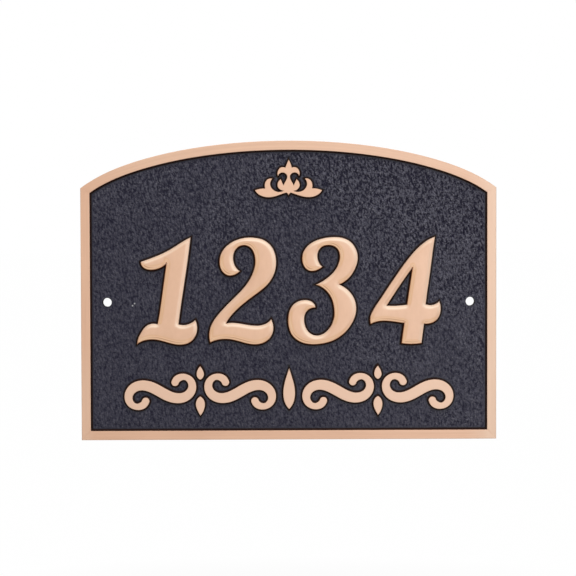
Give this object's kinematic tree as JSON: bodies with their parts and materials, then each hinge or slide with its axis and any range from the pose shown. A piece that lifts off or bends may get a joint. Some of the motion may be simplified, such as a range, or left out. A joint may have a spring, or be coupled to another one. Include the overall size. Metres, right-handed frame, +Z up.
{
  "type": "house number plaque",
  "caption": "Arched cast-metal wall plaque with a raised border, sculpted bevelled numerals, a leaf ornament, a band of scrollwork and screw holes at its sides.",
  "frame": {"origin": "on the flat back face, midway between the centres of the screw holes", "axes": "+X to the viewer's right along the plaque's length, +Z up, front facing -Y, so the wall is at y = 0"},
  "size_m": [0.3048, 0.0082, 0.2193],
  "materials": {
    "bronze": "cast bronze: raised faces brushed satin and lacquered, field stippled and darkened"
  },
  "bodies": {
    "root": {"plaque": "bronze"}
  },
  "joints": []
}
